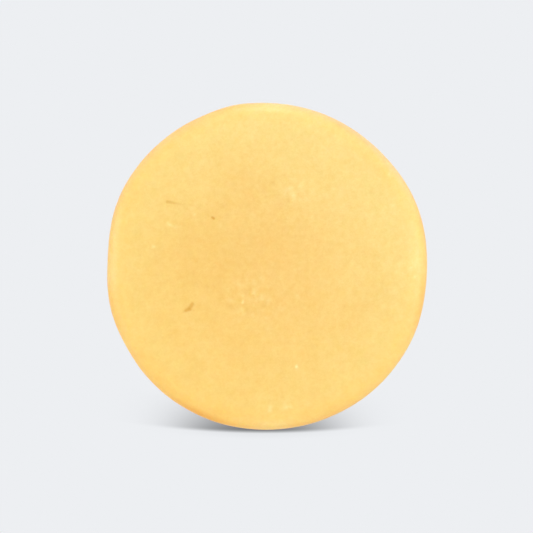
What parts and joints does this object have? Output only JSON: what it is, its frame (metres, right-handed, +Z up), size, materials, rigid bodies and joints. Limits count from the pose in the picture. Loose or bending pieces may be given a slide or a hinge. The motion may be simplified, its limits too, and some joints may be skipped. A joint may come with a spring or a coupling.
{
  "type": "shaving soap puck",
  "caption": "Solid round bar of shaving soap with a rounded shoulder, a shallow dipped lathering face and a flat base.",
  "frame": {"origin": "centre of the base, on the plane the puck rests on", "axes": "+Z up out of the lathering face, along the puck's thickness; +X and +Y lie in the base, with the deepest soft flat of the outline facing -X"},
  "size_m": [0.0685, 0.07, 0.02],
  "materials": {
    "soap": "satin"
  },
  "bodies": {
    "root": {"soap_puck": "soap"}
  },
  "joints": []
}
